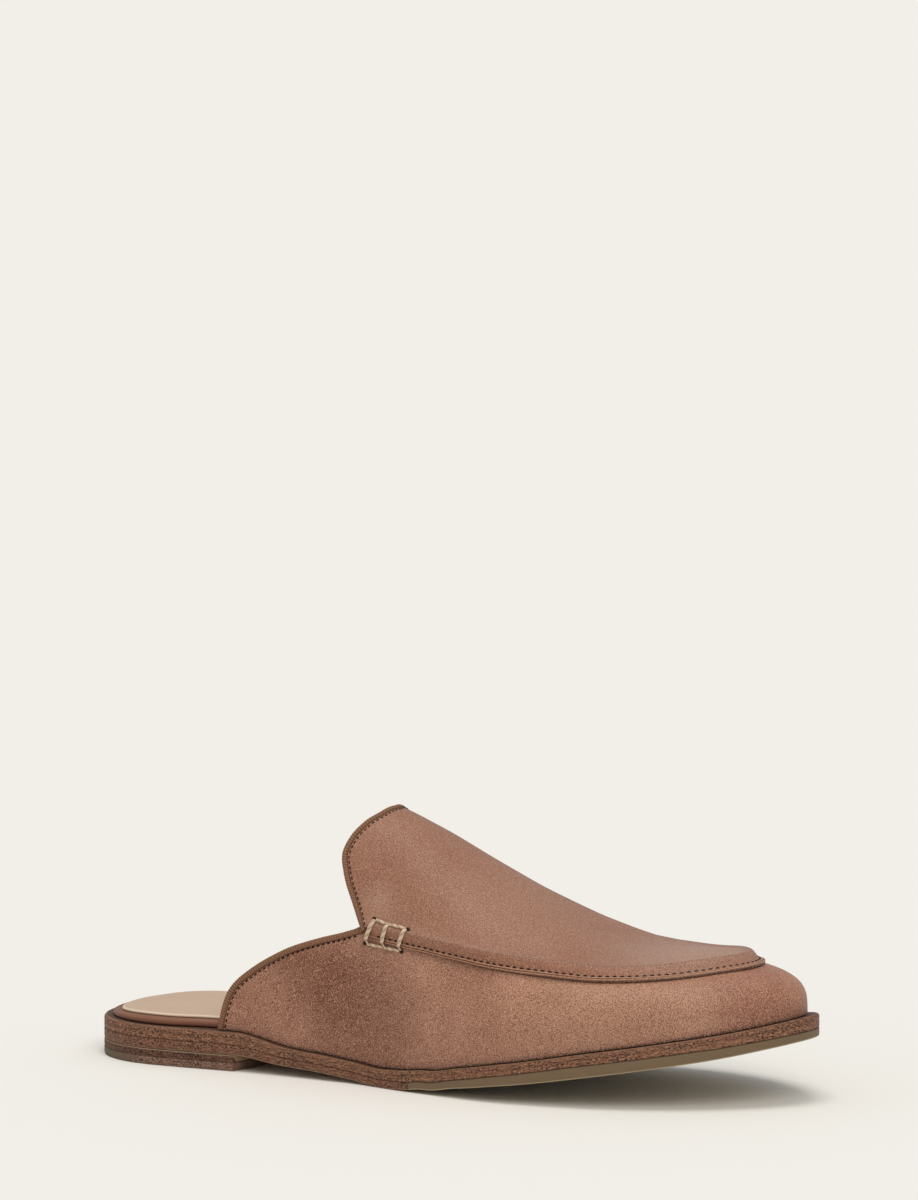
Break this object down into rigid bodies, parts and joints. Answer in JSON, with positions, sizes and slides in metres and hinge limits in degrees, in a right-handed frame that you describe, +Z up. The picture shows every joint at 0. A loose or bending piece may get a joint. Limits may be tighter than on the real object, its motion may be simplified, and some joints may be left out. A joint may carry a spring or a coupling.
{
  "type": "mule shoe",
  "caption": "Slip-on mule with an open back, a raised moccasin-style apron and tongue, a low stacked heel and a leather and rubber sole.",
  "frame": {"origin": "on the floor, under the middle of the shoe's bounding box", "axes": "+X from the heel to the toe, -Y to the outer side of a right foot, +Z up"},
  "size_m": [0.264, 0.093, 0.0908],
  "materials": {
    "heel_rubber": "matt olive-brown rubber",
    "stacked_leather": "burnished stacked leather",
    "sole_leather": "stained leather with an open, speckled edge",
    "sole_rubber": "smooth olive-brown rubber",
    "insole_leather": "smooth wrapped leather",
    "sock_leather": "plain undyed leather",
    "calf_leather": "waxy burnished calf with a fine grain",
    "binding_leather": "suede-like folded edge"
  },
  "bodies": {
    "root": {"heel_top_piece": "heel_rubber", "heel_lift": "stacked_leather", "rear_outsole": "sole_leather", "forefoot_outsole": "sole_rubber", "midsole": "sole_leather", "insole": "insole_leather", "sock_lining": "sock_leather", "upper": "calf_leather", "apron": "calf_leather", "quarter_binding_lateral": "binding_leather", "quarter_binding_medial": "binding_leather", "tongue_binding": "binding_leather"}
  },
  "joints": []
}
